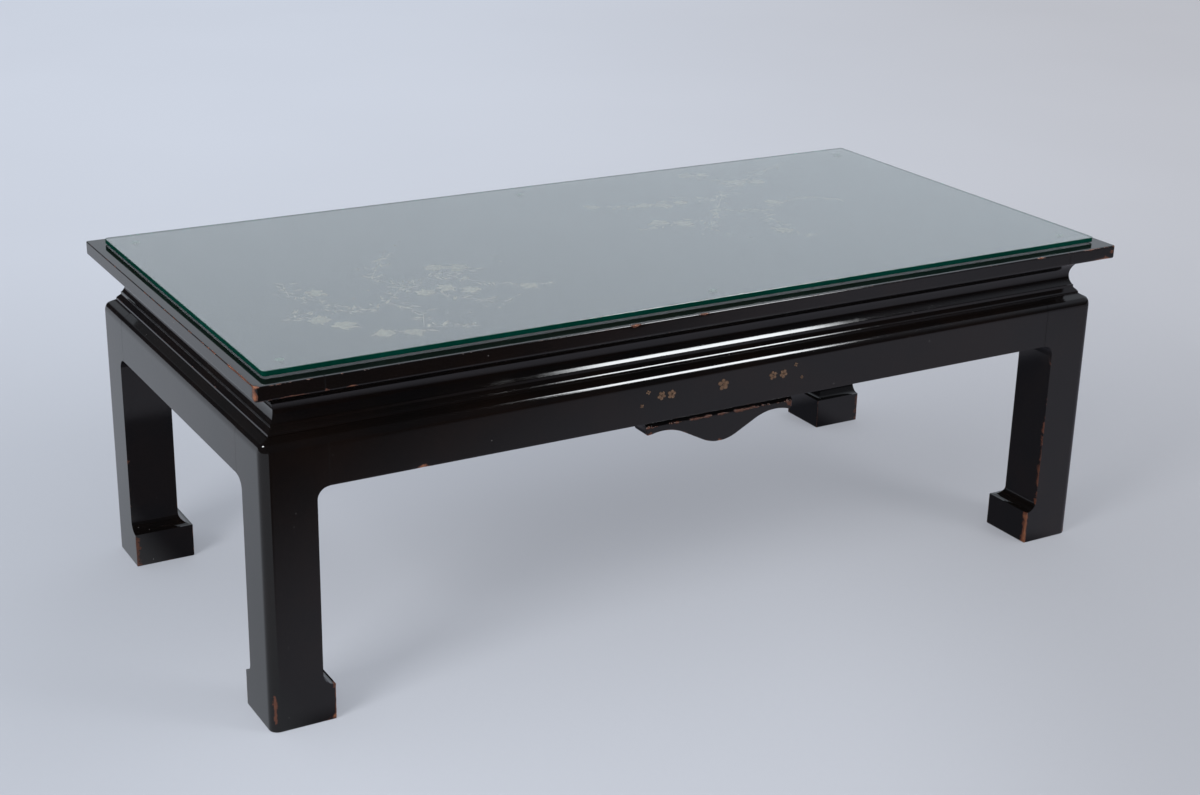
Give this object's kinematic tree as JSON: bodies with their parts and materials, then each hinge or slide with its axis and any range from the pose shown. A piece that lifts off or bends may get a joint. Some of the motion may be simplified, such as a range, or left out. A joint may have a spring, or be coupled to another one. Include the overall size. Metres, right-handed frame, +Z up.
{
  "type": "kang table",
  "caption": "Low rectangular table in black lacquer: hollow-moulded waist, shaped drop under each long apron, square legs with inward feet and a loose glass sheet on top.",
  "frame": {"origin": "on the floor, under the middle of the top", "axes": "+X along the length, +Y to the rear (the front is -Y, the long side nearer to the viewer in the picture), +Z up"},
  "size_m": [1.15, 0.58, 0.4125],
  "materials": {
    "black_lacquer": "glossy near-black lacquer over a brown ground, worn through to reddish brown along the edges",
    "plain_wood": "bare planed softwood, darkened with age",
    "clear_glass": "clear float glass with a green polished edge",
    "clear_bumper": "clear soft plastic bumper",
    "screw_steel": "dull plain steel"
  },
  "bodies": {
    "table": {"leg_front_left": "black_lacquer", "leg_front_right": "black_lacquer", "leg_rear_right": "black_lacquer", "leg_rear_left": "black_lacquer", "apron_front": "black_lacquer", "apron_right": "black_lacquer", "apron_rear": "black_lacquer", "apron_left": "black_lacquer", "bead_front": "black_lacquer", "bead_right": "black_lacquer", "bead_rear": "black_lacquer", "bead_left": "black_lacquer", "waist_front": "black_lacquer", "waist_right": "black_lacquer", "waist_rear": "black_lacquer", "waist_left": "black_lacquer", "top_rail_front": "black_lacquer", "top_rail_rear": "black_lacquer", "top_end_left": "black_lacquer", "top_end_right": "black_lacquer", "top_panel": "black_lacquer", "pendant_front": "black_lacquer", "pendant_rear": "black_lacquer", "top_batten_left": "plain_wood", "top_batten_middle": "plain_wood", "top_batten_right": "plain_wood", "pendant_dowels": "plain_wood", "glue_blocks": "plain_wood", "batten_screws": "screw_steel", "glass_pads": "clear_bumper"},
    "glass": {"glass_sheet": "clear_glass"}
  },
  "joints": [
    {"name": "glass_lift", "type": "slide", "parent": "table", "child": "glass", "axis": [0, 0, 1], "range_m": [0, 0.1]}
  ]
}
